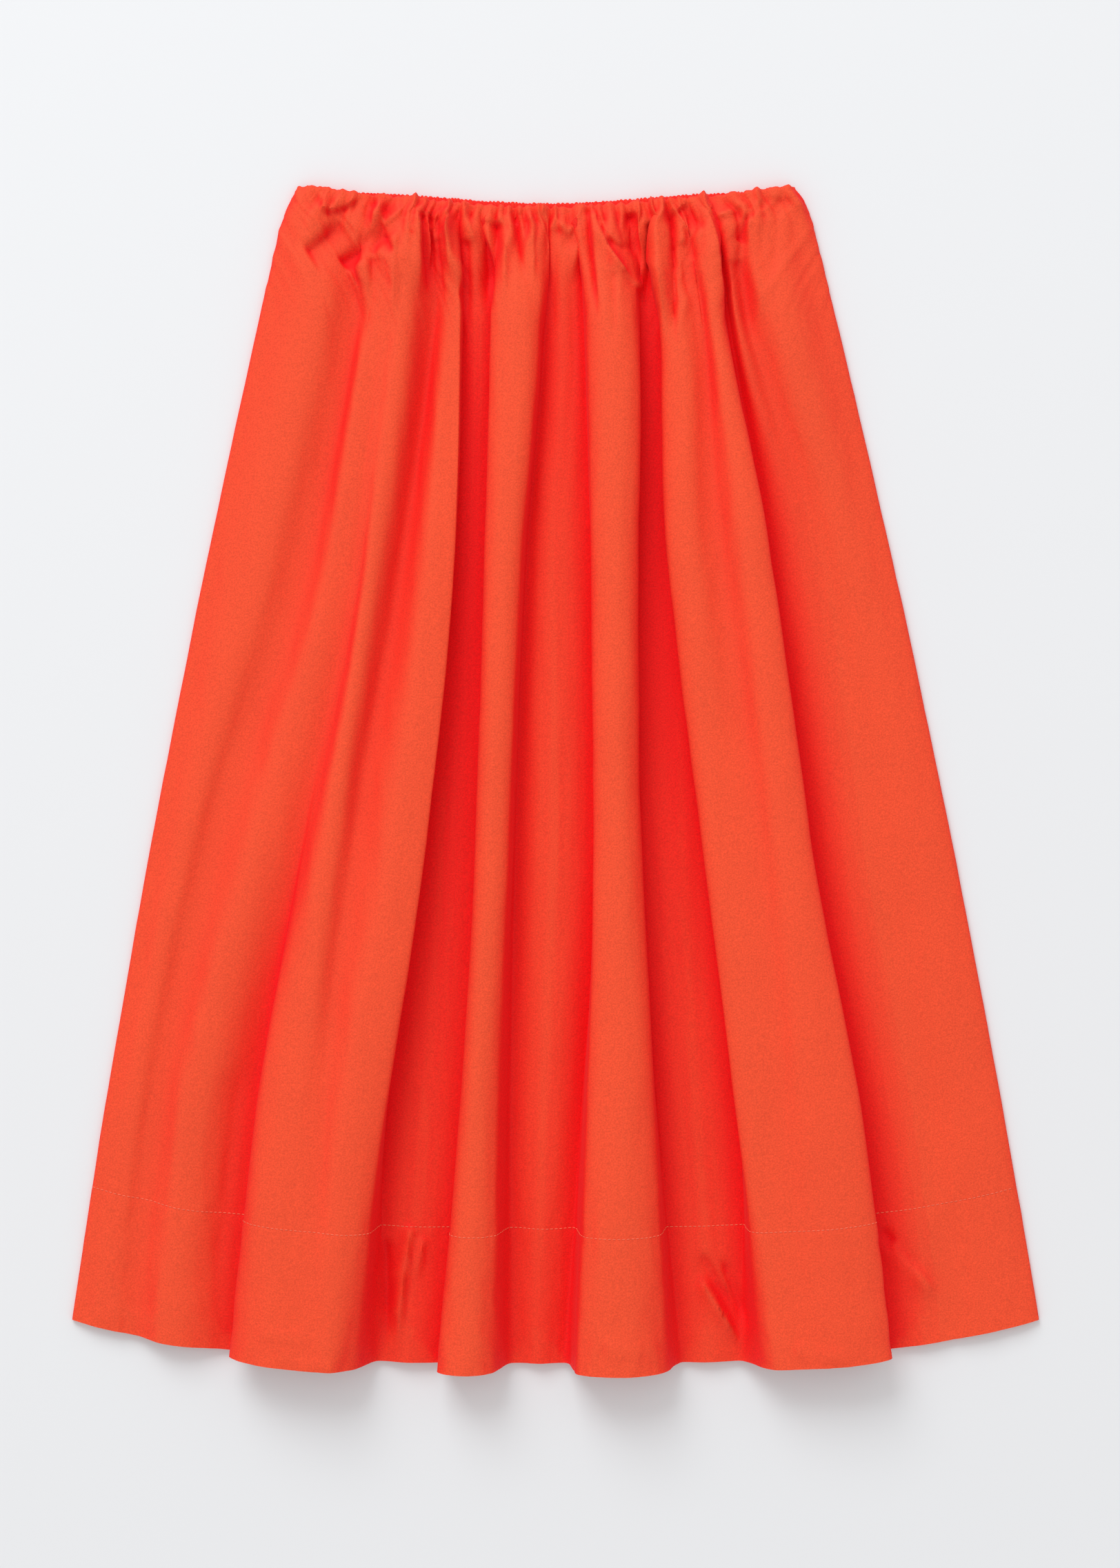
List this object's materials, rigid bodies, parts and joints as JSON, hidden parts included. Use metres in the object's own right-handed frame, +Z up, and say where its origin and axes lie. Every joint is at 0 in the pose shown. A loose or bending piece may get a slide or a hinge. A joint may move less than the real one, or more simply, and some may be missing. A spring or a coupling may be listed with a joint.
{
  "type": "gathered midi skirt, laid flat",
  "caption": "Gathered cotton midi skirt laid flat on its back, with a ruched elastic waist, flared folds and a deep stitched hem.",
  "frame": {"origin": "centre of the bounding box, on the surface the skirt lies on", "axes": "+Y towards the waist, along the skirt's length; +Z up from the surface, out of the front panel; +X to the right as the front is seen"},
  "size_m": [0.686, 0.8374, 0.0412],
  "materials": {
    "cotton": "matt plain-woven cotton, coral red, soft sheen",
    "cotton_casing": "matt plain-woven cotton, ruched over elastic",
    "thread": "sewing thread, a shade lighter than the cloth"
  },
  "bodies": {
    "root": {"front": "cotton", "front_hem": "cotton", "front_waist_casing": "cotton_casing", "back": "cotton", "back_hem": "cotton", "back_waist_casing": "cotton_casing"}
  },
  "joints": []
}
